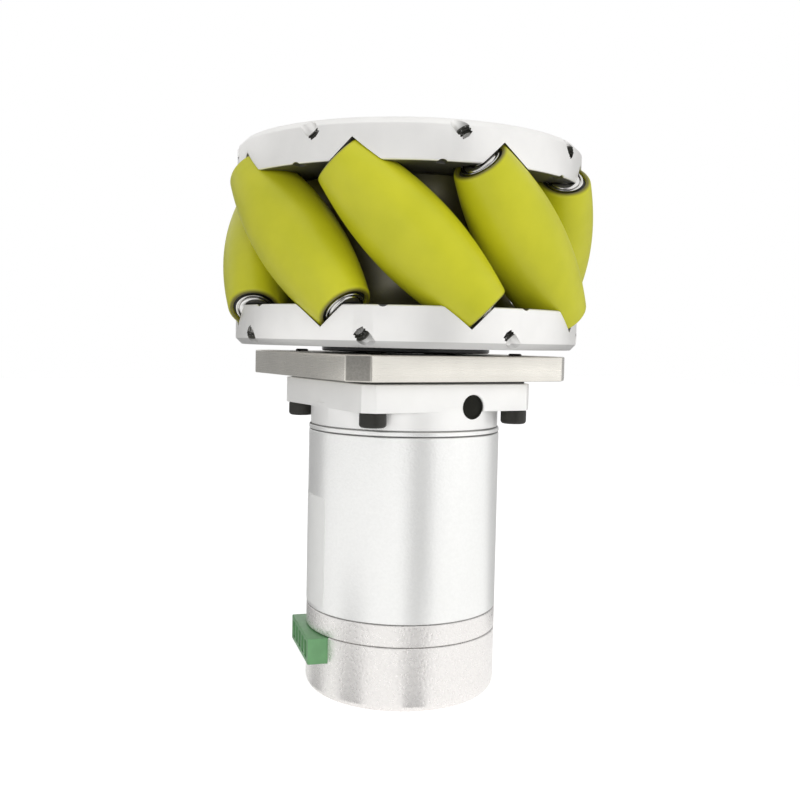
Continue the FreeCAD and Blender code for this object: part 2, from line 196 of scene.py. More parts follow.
def faceOut():  # every face of the mesh that is being edited looks outwards
    bpy.ops.mesh.select_all(action="SELECT")
    bpy.ops.mesh.normals_make_consistent(inside=False)


def smoothed(piece, angle):
    pick(piece)
    bpy.ops.object.shade_smooth_by_angle(angle=math.radians(angle))
    return piece


def turned(name, profile, steps, angle=360.0):  # profile points are (radius, height) in millimetres
    startPiece()
    bpy.ops.mesh.primitive_plane_add(size=mm)
    piece = bpy.context.object
    piece.name = name
    editing()
    bpy.ops.mesh.merge(type="CENTER")
    radius, height = profile[0]
    bpy.ops.transform.translate(value=(radius * mm, 0, height * mm))
    for (radius, height), (nextRadius, nextHeight) in zip(profile, profile[1:]):
        step = ((nextRadius - radius) * mm, 0, (nextHeight - height) * mm)
        bpy.ops.mesh.extrude_vertices_move(TRANSFORM_OT_translate={"value": step})
    bpy.ops.mesh.select_all(action="SELECT")
    bpy.ops.mesh.spin(steps=steps, angle=-math.radians(angle), center=(0, 0, 0), axis=(0, 0, 1))
    bpy.ops.mesh.select_all(action="SELECT")
    bpy.ops.mesh.remove_doubles(threshold=0.001 * mm)
    faceOut()
    editing(False)
    return piece


def arcPoints(centre, radius, first, last, count):  # (radius, height) points on an arc, angles in degrees
    angles = [math.radians(first + (last - first) * step / count) for step in range(count + 1)]
    return [(centre[0] + radius * math.cos(a), centre[1] + radius * math.sin(a)) for a in angles]


def moved(x, y=0.0, z=0.0):
    return Matrix.Translation((x * mm, y * mm, z * mm))


def spun(turn, axis="Z"):
    return Matrix.Rotation(math.radians(turn), 4, axis)


def lifted(height, turn=0.0):
    return moved(0, 0, height) @ spun(turn)


turnedOver = spun(180, "X")


def below(points):  # the mirror image of profile points under height 0
    return [(radius, -height) for radius, height in reversed(points)]


def settled(piece, matrix):  # put a piece in place and write that place into its mesh
    pick(piece)
    piece.matrix_world = matrix
    bpy.ops.object.transform_apply(location=True, rotation=True, scale=True)
    return piece


def copied(piece, name, matrix):
    pick(piece)
    bpy.ops.object.duplicate(linked=False)
    copy = bpy.context.object
    copy.name = name
    return settled(copy, matrix)


def joined(name, pieces):
    pick(*pieces)
    if len(pieces) > 1:
        bpy.ops.object.join()
    whole = bpy.context.object
    whole.name = name
    return whole


def slotFinish(slot):  # motor_case has the finish motorCase
    first, *others = slot.split("_")
    return finishes[first + "".join(word.title() for word in others)]


def dressed(piece, slot, body, *stands, finish=None):
    piece.data.materials.clear()
    piece.data.materials.append((finish or slotFinish(slot)).material)
    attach(piece, body)
    if stands:
        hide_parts(*stands)
    return piece


def addModifier(piece, kind, **settings):
    pick(piece)
    modifier = piece.modifiers.new(kind.title(), kind)
    for name, value in settings.items():
        setattr(modifier, name, value)
    bpy.ops.object.modifier_apply(modifier=modifier.name)


# Camera, floor and light
photoView = {
    "picture": 800,            # pixels across
    "sensor": 36.0,
    "nearest": 1 * mm,
    "focal": 986.2,            # pixels
    "distance": 218.85 * mm,   # from the wheel's axis
    "sideways": -0.99 * mm,
    "height": 77.0 * mm,
    "turn": -30.0,             # degrees about the wheel's axis, from straight in front
    "dip": 3.535,              # degrees below level
    "roll": 1.197,
}


def placeCamera(view):
    data = bpy.data.cameras.new("camera")
    data.sensor_width = view["sensor"]
    data.lens = view["focal"] / view["picture"] * view["sensor"]
    data.clip_start = view["nearest"]
    camera = bpy.data.objects.new("camera", data)
    bpy.context.scene.collection.objects.link(camera)
    place = Matrix.Translation((view["sideways"], -view["distance"], view["height"]))
    camera.matrix_world = spun(view["turn"]) @ place @ spun(90 - view["dip"], "X") @ spun(view["roll"])
    bpy.context.scene.camera = camera


studio = {
    "world": 0.36,             # light on the object from all around
    "floorColor": (0.93, 0.93, 0.93),
    "floorRoughness": 0.9,
    "floorSize": 3.0,
    "floorWhite": 0.6,         # what the camera sees on top of the lit floor
    "floorMirrored": 0.45,     # the same for mirrors
    "lampTarget": 0.55,        # where the lamps point, as a share of the object's height
    # name, direction from the front view (degrees to the right), height (degrees), distance, size, watts
    "lamps": [("key", 0, 5, 2.0, 1.1, 15.0), ("side", 72, 6, 2.0, 1.2, 16.0), ("top", 15, 78, 2.0, 1.6, 6.0),
              ("fill", -50, 6, 2.0, 1.2, 5.0)],
    # grey cards that only mirrors see: direction, width (degrees), brightness, the distance and height of the near
    # edge and of the far edge (millimetres), and how far the far end swings round, which also softens the sides
    "cards": [(18.5, 24, 0.32, (80, 4), (700, 420), 0), (-127, 50, 0.32, (40, 1), (700, 240), 0),
              (135, 42, 0.42, (60, 1), (700, 420), 0), (-34, 139, 0.6, (720, 40), (720, 800), 0),
              (9, 15, 0.47, (21.3, 0.6), (100, 5), 8.6), (-29.3, 19, 0.5, (21.3, 0.6), (110, 5), -32.3),
              (-62, 24, 0.45, (21.3, 0.6), (90, 4), -67)],
    "cardStart": 21.0,         # where a swinging card still points in its own direction
    "cardSoft": 0.4,           # the share of a swinging card's half width that fades out
    "cardFade": 35 * mm,       # how long its far end takes to fade out
    "cardRows": 8,
    "cardSteps": 16,
}


def addLamp(target, name, side, rise, distance, size, power):
    data = bpy.data.lights.new(name, "AREA")
    data.shape = "DISK"
    data.size = size
    data.energy = power
    lamp = bpy.data.objects.new(name, data)
    bpy.context.scene.collection.objects.link(lamp)
    turn, level = math.radians(photoView["turn"] + side), math.radians(rise)
    away = Vector((math.sin(turn) * math.cos(level), -math.cos(turn) * math.cos(level), math.sin(level)))
    facing = away.to_track_quat("Z", "Y").to_matrix().to_4x4()
    lamp.matrix_world = Matrix.Translation(target + away * distance) @ facing
    lamp.visible_glossy = False


def swingCard(card, look, width, far, lean):  # it follows the mirror image of a ray that runs on past the motor
    inside = card.data.attributes.new("inside", "FLOAT", "POINT")
    for vertex in card.data.vertices:
        along = math.degrees(math.atan2(vertex.co.y, vertex.co.x)) - width / 2
        reach = math.hypot(vertex.co.x, vertex.co.y)
        vertex.co = spun((along + lean) * (1 - look["cardStart"] * mm / reach)) @ vertex.co
        across = (1 - abs(along) / (width / 2)) / look["cardSoft"]
        ahead = (far * mm - reach) / look["cardFade"]
        inside.data[vertex.index].value = min(across, 1) * min(ahead, 1)


def addCard(look, name, side, width, brightness, near, far, lean):
    rows = look["cardRows"] if lean else 1
    reach = [(row / rows) ** 2 for row in range(rows + 1)]
    profile = [[first + (last - first) * part for first, last in zip(near, far)] for part in reach]
    card = turned(name, profile, look["cardSteps"], width)
    finish = Finish(name, (0, 0, 0), 1.0)
    finish.set("Emission Color", (brightness,) * 3 + (1,))
    finish.set("Emission Strength", 1.0)
    if lean:
        swingCard(card, look, width, far[0], lean)
        finish.set("Emission Color", finish.mix(finish.attribute("inside"), (1, 1, 1), (brightness,) * 3))
    card.data.materials.append(finish.material)
    settled(card, spun(photoView["turn"] + side - 90 - width / 2))
    for kind in ("camera", "diffuse", "transmission", "volume_scatter", "shadow"):
        setattr(card, "visible_" + kind, False)


def buildStudio(look):
    world = bpy.data.worlds.new("studio")
    bpy.context.scene.world = world
    world.use_nodes = True
    back = world.node_tree.nodes["Background"]
    back.inputs["Color"].default_value = (1, 1, 1, 1)
    sky = Graph(world.node_tree)
    direct = sky.rays("Is Camera Ray", "Is Glossy Ray", "Is Transmission Ray")
    sky.feed(back.inputs["Strength"], direct * (1 - look["world"]) + look["world"])

    bpy.ops.mesh.primitive_plane_add(size=look["floorSize"])
    floor = bpy.context.object
    floor.name = "floor"
    finish = Finish("floor", look["floorColor"], look["floorRoughness"])
    mirrored = finish.rays("Is Glossy Ray", "Is Transmission Ray") * look["floorMirrored"]
    finish.set("Emission Color", (1, 1, 1, 1))
    finish.set("Emission Strength", mirrored + finish.rays("Is Camera Ray") * look["floorWhite"])
    floor.data.materials.append(finish.material)

    target = Vector((0, 0, cadBox[1][2] * look["lampTarget"]))
    for lamp in look["lamps"]:
        addLamp(target, *lamp)
    for index, card in enumerate(look["cards"]):
        addCard(look, "card%d" % index, *card)


placeCamera(photoView)
buildStudio(studio)
bpy.context.scene.view_settings.view_transform = "Standard"
print("stage: camera and studio")


# Finishes
tyreShade = {
    "rubber": [(0.525, 0.525, 0.011), (0.595, 0.585, 0.017)],
    "end": (0.13, 0.115, 0.02),     # painted shade beside the bearings
    "roughness": (0.38, 0.50),
    "fineBump": 0.012,
    "wideBump": 0.05,
}


def polyurethane(look):
    finish = Finish("rollerPolyurethane", look["rubber"][0], look["roughness"][0])
    rubber = finish.mix(finish.noise(90, 4).between(0.35, 0.65), *look["rubber"])
    # painted shade: the tyre darkens towards each end, beside the bearings
    finish.set("Base Color", finish.mix(finish.attribute("end"), rubber, look["end"]))
    smooth, rough = look["roughness"]
    finish.set("Roughness", finish.noise(700, 3).between(0, 1) * (rough - smooth) + smooth)
    finish.bump(finish.noise(5200, 2), look["fineBump"] * mm)
    finish.bump(finish.noise(260, 2), look["wideBump"] * mm)
    return finish


def shade(color, amount):
    return tuple(part * amount for part in color)


def radiusAndHeight(finish):
    x, y, z = (finish.place(axis) for axis in range(3))
    return (x * x + y * y) ** 0.5, z


def lines(finish, across, pitch):  # uneven fine lines that repeat across a direction
    return finish.node("ShaderNodeTexNoise", {"noise_dimensions": "1D"}, {"W": across / (pitch * mm), "Detail": 3})


def machined(name, color, roughness, marks=0.004, pitch=0.12, metallic=1.0):  # lathe marks run round Z
    finish = Finish(name, color, roughness, metallic)
    radius, height = radiusAndHeight(finish)
    turning = lines(finish, radius + height, pitch)
    finish.bump(turning, marks * mm)
    finish.tone = finish.mix(finish.noise(160, 4).between(0.3, 0.7), shade(color, 0.95), color)
    finish.set("Base Color", finish.tone)
    finish.set("Roughness", turning * 0.10 + (roughness - 0.05))
    return finish


wheelShade = {
    "middle": 96.45,
    "insideEnd": 13.2,     # painted shade on the faces that look into the wheel, by distance from its middle plane
    "insideTone": 0.16,
    "nickEnd": 13.9,       # the nicks in those faces, which stay inside the rim's wall and get the same painted shade
    "nickRadius": 36.95,
    "edgeTop": 76.58,      # painted shade on the bevel that faces the mounting plate
    "edgeRadius": 35.8,
    "edgeTone": 0.66,
}


def wheelAluminium(color, threadColor):  # machined, with dark thread walls in the axle holes that carry painted glints, and painted shade inside the wheel and on the bevel that faces the mounting plate
    finish = machined("wheelPlateAluminium", color, 0.42, 0.0015, 0.2, 0.6)
    # painted glints: lighter specks of noise on the dark thread walls
    paintedGlint = finish.mix(finish.noise(2000, 2).between(0.6, 0.75), threadColor, shade(color, 0.6))
    radius, height = radiusAndHeight(finish)
    away = abs(height - wheelShade["middle"] * mm)
    inside = away.past(wheelShade["insideEnd"], -0.05)
    nick = away.past(wheelShade["nickEnd"], -0.05) * radius.past(wheelShade["nickRadius"], -0.1)
    edge = height.past(wheelShade["edgeTop"], -0.03) * radius.past(wheelShade["edgeRadius"], 0.05)
    # painted shade on the faces that look into the wheel and on their nicks
    tone = finish.mix(inside.most(nick), finish.tone, shade(color, wheelShade["insideTone"]))
    # painted shade on the bevel that faces the mounting plate
    tone = finish.mix(edge, tone, shade(color, wheelShade["edgeTone"]))
    finish.set("Base Color", finish.mix(finish.attribute("threaded"), tone, paintedGlint))
    return finish


mountingPlate = {"side": 52.8, "corner": 3.65, "bottom": 68.25, "top": 73.9, "edge": 0.3, "bore": 11.52,
                 "boreEdge": 0.2, "boreSteps": 160,
                 "joint": 0.5, "jointSide": 38.9, "jointCorner": 1.5, "jointEdge": 0.05,
                 "holes": [(34.5, 1.5, 0.12), (44.6, 1.7, 0.3)]}   # spacing, radius, chamfer


def milled(name, color, roughness, sawnTone=0.38):  # fine level lines, cloudy, with rough corner faces and painted shade on the joint step
    finish = Finish(name, color, roughness, 1.0)
    x, y, z = (finish.place(axis) for axis in range(3))
    level = lines(finish, z, 0.8)
    cloud = finish.noise(110, 5).between(0.3, 0.7)
    cornerReach = mountingPlate["side"] - mountingPlate["corner"]
    corner = (abs(x) + abs(y)).past(cornerReach - 0.1, 0.1) * x.past(0, -1)
    speckle = finish.noise(2400, 3).between(0.25, 0.75)
    flat = finish.mix(cloud, shade(color, 0.9), color)
    sawn = finish.mix(speckle, shade(color, sawnTone * 0.84), shade(color, sawnTone * 1.1))
    # painted shade on the step under the plate, below the joint's top
    joint = z.past(mountingPlate["bottom"] + mountingPlate["joint"], -0.05)
    finish.set("Base Color", finish.mix(joint, finish.mix(corner, flat, sawn), shade(color, 0.08)))
    finish.set("Roughness", level * 0.06 + corner * 0.2 + (roughness - 0.03))
    finish.bump(level, 0.0025 * mm)
    finish.bump(speckle * corner, 0.012 * mm)
    return finish


def ground(name, color, roughness, metallic=1.0, neckTop=None, jointBottom=None):  # straight fine grain
    finish = Finish(name, color, roughness, metallic)
    grain = finish.noise(9000, 3, (0.02, 1, 1))
    height = finish.place(2)
    tone = finish.mix(finish.noise(140, 4).between(0.3, 0.7), shade(color, 0.96), color)
    rough = grain * 0.12 + (roughness - 0.06)
    if neckTop:         # smoother below this height
        rough = rough * height.past(neckTop - 0.1, 0.1).most(0.7)
    if jointBottom:     # painted shade above this height
        tone = finish.mix(height.past(jointBottom, 0.05), tone, shade(color, 0.06))
    finish.set("Base Color", tone)
    finish.set("Roughness", rough)
    finish.bump(grain, 0.003 * mm)
    return finish


# painted shade in the seams between the motor's rings: height and how dark, and the radii where the darkness starts
# and ends
seams = {"levels": [(13.9, 0.45), (18.6, 0.55), (57.2, 0.95), (58.35, 0.95)], "dirtStart": 20.8, "dirtEnd": 20.97}


def blasted(name, color, roughness, metallic, grainSize, depth, sparkle):  # bead-blasted
    finish = Finish(name, color, roughness, metallic)
    grain = finish.noise(1 / (grainSize * mm), 2)
    radius, height = radiusAndHeight(finish)
    seam = 0.0
    for level, strength in seams["levels"]:
        seam = abs(height - level * mm).past(0.4, -0.1) * strength + seam
    # painted shade in the seam grooves, only near the case's outer wall
    seamShade = seam * radius.between(seams["dirtEnd"] * mm, seams["dirtStart"] * mm)
    tone = finish.mix(finish.noise(1600, 3).between(0.35, 0.65), shade(color, 0.97), color)
    finish.set("Base Color", finish.mix(seamShade, tone, shade(color, 0.12)))
    finish.set("Roughness", grain.between(0.35, 0.65) * sparkle + (roughness - sparkle / 2))
    finish.bump(grain, depth * mm)
    return finish


def plain(name, color, roughness, metallic=0.0, grain=0.01, cloud=0.85, specular=0.5):  # plastic, rubber, plating
    finish = Finish(name, color, roughness, metallic)
    finish.set("Specular IOR Level", specular)
    finish.set("Base Color", finish.mix(finish.noise(400, 4).between(0.3, 0.7), shade(color, cloud), color))
    finish.set("Roughness", finish.noise(1500, 2) * 0.14 + (roughness - 0.07))
    finish.bump(finish.noise(4200, 2), grain * mm)
    return finish


finishes = {
    "tyre": polyurethane(tyreShade),
    "wheelPlate": wheelAluminium((0.93, 0.92, 0.90), (0.07, 0.07, 0.06)),
    "hub": machined("hubAluminium", (0.42, 0.40, 0.33), 0.5),
    "core": plain("coreNylon", (0.03, 0.03, 0.03), 0.5),
    "bearing": plain("bearingSteel", (0.80, 0.79, 0.77), 0.16, 1.0, 0.002),
    "axle": plain("axleSteel", (0.50, 0.49, 0.48), 0.3, 1.0, 0.004),
    "blackScrew": plain("blackOxide", (0.030, 0.029, 0.025), 0.45, 0.4, 0.008),
    "blackFlange": plain("blackAnodised", (0.012, 0.012, 0.012), 0.22, 0.3, 0.004),
    "shaft": machined("shaftSteel", (0.62, 0.62, 0.61), 0.25),
    "mountingPlate": milled("mountingPlateAluminium", (0.835, 0.805, 0.74), 0.28),
    # the front flange's step under the mounting plate gets painted shade
    "frontFlange": ground("frontFlangeAluminium", (0.96, 0.955, 0.94), 0.45, 0.28, neckTop=62.25, jointBottom=67.95),
    "plug": plain("plugRubber", (0.012, 0.012, 0.009), 0.7, specular=0.2),
    "motorCase": blasted("motorCaseAluminium", (0.96, 0.96, 0.945), 0.31, 0.6, grainSize=0.5, depth=0.045,
                         sparkle=0.05),
    "endCap": blasted("endCapAluminium", (0.91, 0.885, 0.865), 0.32, 0.75, grainSize=0.6, depth=0.1, sparkle=0.12),
    "lamination": ground("laminationSteel", (0.32, 0.32, 0.33), 0.45),
    "winding": plain("windingCopper", (0.62, 0.26, 0.12), 0.35, 0.8),
    "magnet": plain("magnetPlating", (0.40, 0.40, 0.41), 0.3, 0.9),
    "board": plain("boardSolderMask", (0.02, 0.13, 0.06), 0.3),
    "header": plain("headerPlastic", (0.18, 0.415, 0.185), 0.42),
    "contact": plain("contactTin", (0.72, 0.68, 0.58), 0.3, 1.0),
    "label": plain("bareLabel", (0.95, 0.95, 0.93), 0.45, cloud=0.98),
}

for entry in frame["record"]["subparts"]:
    data = nodes[entry["node"]].data
    data.materials.clear()
    data.materials.append(slotFinish(entry["material_slot"]).material)
print("stage: finishes on every node")


def cut(piece, *cutters):  # take the cutters' shapes out of the piece
    tool = joined("cutter", list(cutters))
    addModifier(piece, "BOOLEAN", object=tool, operation="DIFFERENCE", solver="EXACT")
    deleted(tool)
    return piece


def fused(piece, *parts):  # add the parts' shapes to the piece
    for part in parts:
        addModifier(piece, "BOOLEAN", object=part, operation="UNION", solver="EXACT")
    deleted(*parts)
    return piece


def tidied(piece, gap=0.004):  # weld the slivers that a cut leaves
    pick(piece)
    editing()
    bpy.ops.mesh.select_all(action="SELECT")
    bpy.ops.mesh.remove_doubles(threshold=gap * mm)
    bpy.ops.mesh.dissolve_degenerate(threshold=gap * mm)
    editing(False)
    return piece


def turnsOf(count, first=0.0):  # even turns about Z
    return [spun(first + index * 360 / count) for index in range(count)]


def cutRound(piece, tool, places):  # one cut with a copy of the tool at every place
    tools = [copied(tool, "tool", place) for place in places]
    deleted(tool)
    return cut(piece, *tools)


# Rollers
roller = {
    "count": 8,
    "tilt": 45.0,          # lean of an axle, degrees
    "firstTurn": 16.1,     # degrees from +X
    "pitchRadius": 31.5,
    "wheelRadius": 40.0,
    "middle": 96.45,       # height of the wheel's middle plane
    "half": 19.9,
    "bore": 4.6,
    "boreEdge": 0.12,
    "endRound": 0.9,
    "endShade": 0.45,      # length of the painted shade towards the bearing
    "rings": 52,
    "steps": 96,
}
wheelPlace = lifted(roller["middle"], roller["firstTurn"])


def rollerRadius(distance):
    return roller["wheelRadius"] - math.hypot(roller["pitchRadius"], distance * math.sin(math.radians(roller["tilt"])))


def axlePlace(index):  # from a roller's own frame, with its axle on Z, to its place in the wheel's frame
    return spun(index * 360 / roller["count"]) @ moved(roller["pitchRadius"]) @ spun(roller["tilt"], "X")


def makeTyre():
    half, bore, edge = roller["half"], roller["bore"], roller["endRound"]
    slope = math.atan(rollerRadius(half - 1) - rollerRadius(half))
    start = half - edge * (1 - math.sin(slope))
    heights = [start * (2 * step / roller["rings"] - 1) for step in range(roller["rings"] + 1)]
    flank = [(rollerRadius(height), height) for height in heights]
    centre = (rollerRadius(start) - edge * math.cos(slope), half - edge)
    upper = arcPoints(centre, edge, math.degrees(slope), 90, 9)[1:]
    lower, soft = below(upper), roller["boreEdge"]
    inner = [(bore + soft, half), (bore, half - soft), (bore, soft - half), (bore + soft, -half)]
    piece = turned("tyre", lower + flank + upper + inner + lower[:1], roller["steps"])
    # an attribute for the painted shade, from 0 in the middle to 1 at each end
    mark = piece.data.attributes.new("end", "FLOAT", "POINT")
    for vertex in piece.data.vertices:
        reach = abs(vertex.co.z) / mm - (half - roller["endShade"])
        mark.data[vertex.index].value = min(max(reach / roller["endShade"], 0), 1) ** 2
    return piece


rollerBearing = {
    "radius": 4.0,
    "bore": 1.53,
    "width": 3.0,
    "top": 19.95,          # outer face, from the roller's middle
    "face": [(3.92, 0.0), (3.62, 0.0), (3.52, -0.08), (3.50, -0.42), (3.36, -0.42), (3.33, -0.2), (3.22, 0.0),
             (3.02, 0.12), (2.72, 0.19), (2.35, 0.22), (1.85, 0.22), (1.68, 0.17), (1.6, 0.05)],
    "steps": 72,
}


def makeRollerBearing(size):
    top, low = size["top"], size["top"] - size["width"]
    profile = [(size["radius"] - 0.1, low), (size["radius"], low + 0.1), (size["radius"], top - 0.08)]
    profile += [(radius, top + rise) for radius, rise in size["face"]]
    profile += [(size["bore"], top - 0.05), (size["bore"], low), (size["radius"] - 0.1, low)]
    upper = turned("bearing", profile, size["steps"])
    lower = copied(upper, "bearingLower", turnedOver)
    return smoothed(joined("bearings", [upper, lower]), 40)


axle = {"radius": 1.49, "half": 23.8, "chamfer": 0.22, "flats": 1.5, "socketDepth": 1.5, "threadStart": 20.9,
        "threadDepth": 0.2, "pitch": 0.5, "steps": 36}


def threadProfile(radius, depth, pitch, start, end):  # crest and root rings from start to end
    count = int(abs(end - start) / pitch)
    step = (end - start) / count
    points = []
    for index in range(count):
        low = start + index * step
        points += [(radius, low), (radius, low + step * 0.2), (radius - depth, low + step * 0.55),
                   (radius - depth, low + step * 0.65)]
    return points + [(radius, end)]


def hexTool(flats, bottom, top):  # six-sided cutter
    startPiece()
    bpy.ops.mesh.primitive_cylinder_add(vertices=6, radius=flats / math.sqrt(3) * mm, depth=(top - bottom) * mm,
                                        location=(0, 0, (top + bottom) / 2 * mm))
    tool = bpy.context.object
    return settled(tool, tool.matrix_world.copy())


def makeAxle(size):
    radius, half, chamfer = size["radius"], size["half"], size["chamfer"]
    thread = threadProfile(radius, size["threadDepth"], size["pitch"], size["threadStart"], half - chamfer)
    upper = [(radius, 0)] + thread + [(radius - chamfer, half), (0, half)]
    piece = turned("axle", below(upper[1:]) + upper, size["steps"])
    for side in (-1, 1):
        ends = sorted((side * (half - size["socketDepth"]), side * (half + 1)))
        cut(piece, hexTool(size["flats"], *ends))
    return smoothed(piece, 30)


tyre = smoothed(makeTyre(), 40)
bearings = makeRollerBearing(rollerBearing)
pin = makeAxle(axle)
for index in range(roller["count"]):
    name = "roller_%d" % (index + 1)
    place = wheelPlace @ axlePlace(index)
    dressed(copied(tyre, name + "_rubber", place), "tyre", name, name + "_tyre")
    dressed(copied(bearings, name + "_raceRings", place), "bearing", name, name + "_bearings")
    dressed(copied(pin, name + "_pin", place), "axle", "wheel", name + "_axle")
deleted(tyre, bearings, pin)
print("stage: rollers")


# Side plates: the outer one is made above the middle plane, and the inner one is turned over
sidePlate = {
    "rim": 37.15,
    "inner": 13.1,         # inner face, from the wheel's middle plane
    "outer": 21.15,
    "innerBevel": 0.25,
    "outerBevel": 1.3,
    "bore": 5.62,
    "edgeRound": 0.06,
    "recessDepth": 2.0,
    "recessBevel": 0.2,
    "outerRecess": 26.0,
    "innerRecess": 18.52,
    "pocketStart": 9.626,
    "pocketEnd": 20.45,
    "pocketGap": 0.4,
    "seatRadius": 1.5,     # the axle's seat, a narrow way on, then a thread and the open groove
    "seatEnd": 23.82,      # along the axle from the roller's middle
    "wayRadius": 0.9,
    "threadStart": 25.8,
    "threadEnd": 26.9,
    "threadDepth": 0.2,
    "holeRadius": 1.42,
    "nickRadius": 1.2,
    "nickRise": 0.45,
    "nickDepth": 2.4,
    "nickTurn": 8.1,
    "headRoom": 3.2,       # depth of the counterbores in the outer plate
    # screw holes: how many, distance from the axis, radius, head radius
    "outerScrews": (6, 15.0, 1.6, 3.0),
    "innerScrews": (4, 12.5, 1.6, 1.6),
    "steps": 288,
    "pocketSteps": 96,
    "holeSteps": 48,
}


def makePlateBlank(size, recess):
    inner, outer, rim, bevel, soft = (size[key] for key in ("inner", "outer", "rim", "outerBevel", "edgeRound"))
    floor, slope = outer - size["recessDepth"], size["recessBevel"]
    profile = [(size["bore"], inner), (rim - size["innerBevel"], inner), (rim, inner + size["innerBevel"]),
               (rim, outer - bevel - soft), (rim - soft, outer - bevel + soft), (rim - bevel + soft, outer - soft),
               (rim - bevel - soft, outer), (recess + slope, outer), (recess, outer - slope), (recess, floor),
               (size["bore"], floor), (size["bore"], inner)]
    return turned("plate", profile, size["steps"])


def pocketTool(size):
    start, end = size["pocketStart"], size["pocketEnd"]
    wide, narrow = rollerRadius(start) + size["pocketGap"], rollerRadius(end) + size["pocketGap"]
    return turned("pocket", [(0, start), (wide, start), (narrow, end), (0, end)], size["pocketSteps"])


def axleHoleTool(size):
    seat, way, radius, far = size["seatRadius"], size["wayRadius"], size["holeRadius"], roller["half"] * 2
    profile = [(0, roller["half"]), (seat, roller["half"]), (seat, size["seatEnd"]), (way, size["seatEnd"]),
               (way, size["threadStart"] - 0.2)]
    profile += threadProfile(radius, size["threadDepth"], 0.5, size["threadStart"], size["threadEnd"])
    return turned("axleHole", profile + [(radius, far), (0, far)], size["holeSteps"])


def nickTool(size):
    startPiece()
    low = size["inner"] + size["nickRise"] - size["nickRadius"]
    length = size["nickDepth"] + size["nickRadius"]
    bpy.ops.mesh.primitive_cylinder_add(vertices=size["holeSteps"], radius=size["nickRadius"] * mm,
                                        depth=length * mm)
    tool = bpy.context.object
    place = moved(size["rim"] - size["nickDepth"] + length / 2, 0, low)
    return settled(tool, spun(size["nickTurn"]) @ place @ spun(90, "Y"))


def makeSidePlate(name, size, recess, screwTool, screwCount):
    plate = makePlateBlank(size, recess)
    onAxles = [axlePlace(index) for index in range(roller["count"])]
    cutRound(plate, pocketTool(size), onAxles)
    cutRound(plate, axleHoleTool(size), onAxles)
    cutRound(plate, nickTool(size), turnsOf(roller["count"]))
    cutRound(plate, screwTool, turnsOf(screwCount))
    tidied(plate)
    plate.name = name
    return plate


def markThreads(plate, size):  # an attribute that is 1 on the threaded walls of the axle holes
    mark = plate.data.attributes.new("threaded", "FLOAT", "FACE")
    axles = [axlePlace(index).inverted() for index in range(roller["count"])]
    for face in plate.data.polygons:
        corners = [plate.data.vertices[index].co for index in face.vertices]
        for inverse in axles:
            spots = [inverse @ corner for corner in corners]
            if all(math.hypot(spot.x, spot.y) < (size["holeRadius"] + 0.02) * mm
                   and size["seatEnd"] * mm < spot.z < (size["threadEnd"] + 0.05) * mm for spot in spots):
                mark.data[face.index].value = 1
    return plate


def screwHoleTool(circle, radius, headRadius, seat, top, bottom, bevel=0.15):
    profile = [(0, bottom), (radius, bottom), (radius, seat), (headRadius, seat), (headRadius, top - bevel),
               (headRadius + bevel, top), (headRadius + bevel, top + 1), (0, top + 1)]
    tool = turned("screwHole", profile, sidePlate["holeSteps"])
    return settled(tool, moved(circle))


recessFloor = sidePlate["outer"] - sidePlate["recessDepth"]
for side, place, screwSeat in (("outer", wheelPlace, recessFloor - sidePlate["headRoom"]),
                               ("inner", wheelPlace @ turnedOver, sidePlate["inner"] + 1)):
    count, *hole = sidePlate[side + "Screws"]
    holes = screwHoleTool(*hole, screwSeat, recessFloor, sidePlate["inner"] - 1)
    plate = makeSidePlate(side + "Plate", sidePlate, sidePlate[side + "Recess"], holes, count)
    settled(smoothed(markThreads(plate, sidePlate), 30), place)
    dressed(plate, "wheel_plate", "wheel", side + "_side_plate")
print("stage: side plates")


# Hub and the flange that drives it
hub = {"radius": 22.0, "half": 13.1, "bevel": 0.4, "flare": 2.4, "flareHeight": 4.5, "flareSteps": 10,
       "spigot": 5.6, "spigotEnd": 16.1, "bore": 4.02, "steps": 160}


def makeHub(size):
    half, edge, spigot, end = size["half"], size["bevel"], size["spigot"], size["spigotEnd"]
    wide, steps = size["radius"] + size["flare"], size["flareSteps"]
    upper = [(size["radius"] + size["flare"] * (step / steps) ** 2,
              half - edge - size["flareHeight"] * (1 - step / steps)) for step in range(steps + 1)]
    upper += [(wide - edge, half), (spigot, half), (spigot, end - edge / 2), (spigot - edge / 2, end),
              (size["bore"], end)]
    outline = below(upper) + upper
    piece = turned("hubSleeve", outline + outline[:1], size["steps"])
    return settled(smoothed(piece, 30), wheelPlace)


dressed(makeHub(hub), "hub", "wheel", "hub_barrel")

driveFlange = {"radius": 18.5, "bore": 4.02, "bottom": 74.2, "top": 77.3, "edge": 0.25, "circle": 12.5,
               "hole": 1.6, "head": 3.0, "sink": 1.6, "count": 4, "steps": 192, "holeSteps": 40}


def makeDriveFlange(size):
    radius, edge, bottom, top = size["radius"], size["edge"], size["bottom"], size["top"]
    outline = [(size["bore"], bottom), (radius - edge, bottom), (radius, bottom + edge), (radius, top),
               (size["bore"], top), (size["bore"], bottom)]
    piece = turned("driveFlange", outline, size["steps"])
    head, hole = size["head"], size["hole"]
    seat = [(0, bottom - 1), (head, bottom - 1), (head, bottom), (hole, bottom + size["sink"]), (hole, top + 1),
            (0, top + 1)]
    tool = settled(turned("seat", seat, size["holeSteps"]), moved(size["circle"]))
    return smoothed(cutRound(piece, tool, turnsOf(size["count"], roller["firstTurn"])), 30)


dressed(makeDriveFlange(driveFlange), "black_flange", "wheel", "output_flange")
print("stage: hub and drive flange")


